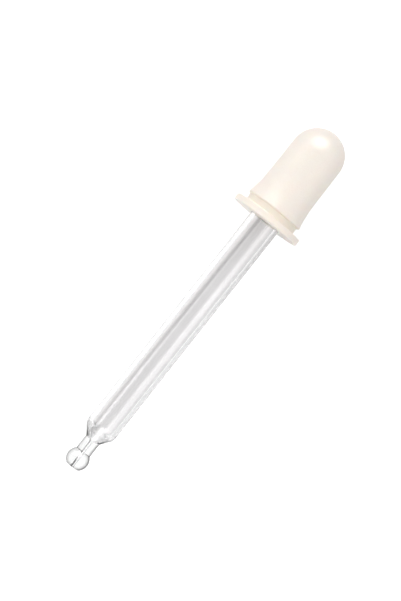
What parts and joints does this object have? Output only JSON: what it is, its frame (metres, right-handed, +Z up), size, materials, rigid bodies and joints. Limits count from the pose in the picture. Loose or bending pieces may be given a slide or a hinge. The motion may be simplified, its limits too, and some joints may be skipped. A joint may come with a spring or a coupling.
{
  "type": "dropper pipette",
  "caption": "Clear glass dropper tube with a narrow neck and ball tip, and a cream rubber squeeze bulb with a grooved, flanged mouth, for moving drops of liquid.",
  "frame": {"origin": "on the surface that the dropper lies on, under the middle of its bounding box", "axes": "+Z up, +X from the glass tip towards the bulb; the dropper's axis rises towards the bulb by 4.7 degrees"},
  "size_m": [0.0868, 0.016, 0.016],
  "materials": {
    "clear_glass": "clear colourless drawn glass, fire-polished ends",
    "cream_rubber": "cream moulded rubber, soft satin"
  },
  "bodies": {
    "root": {"glass_tube": "clear_glass", "rubber_bulb": "cream_rubber"}
  },
  "joints": []
}
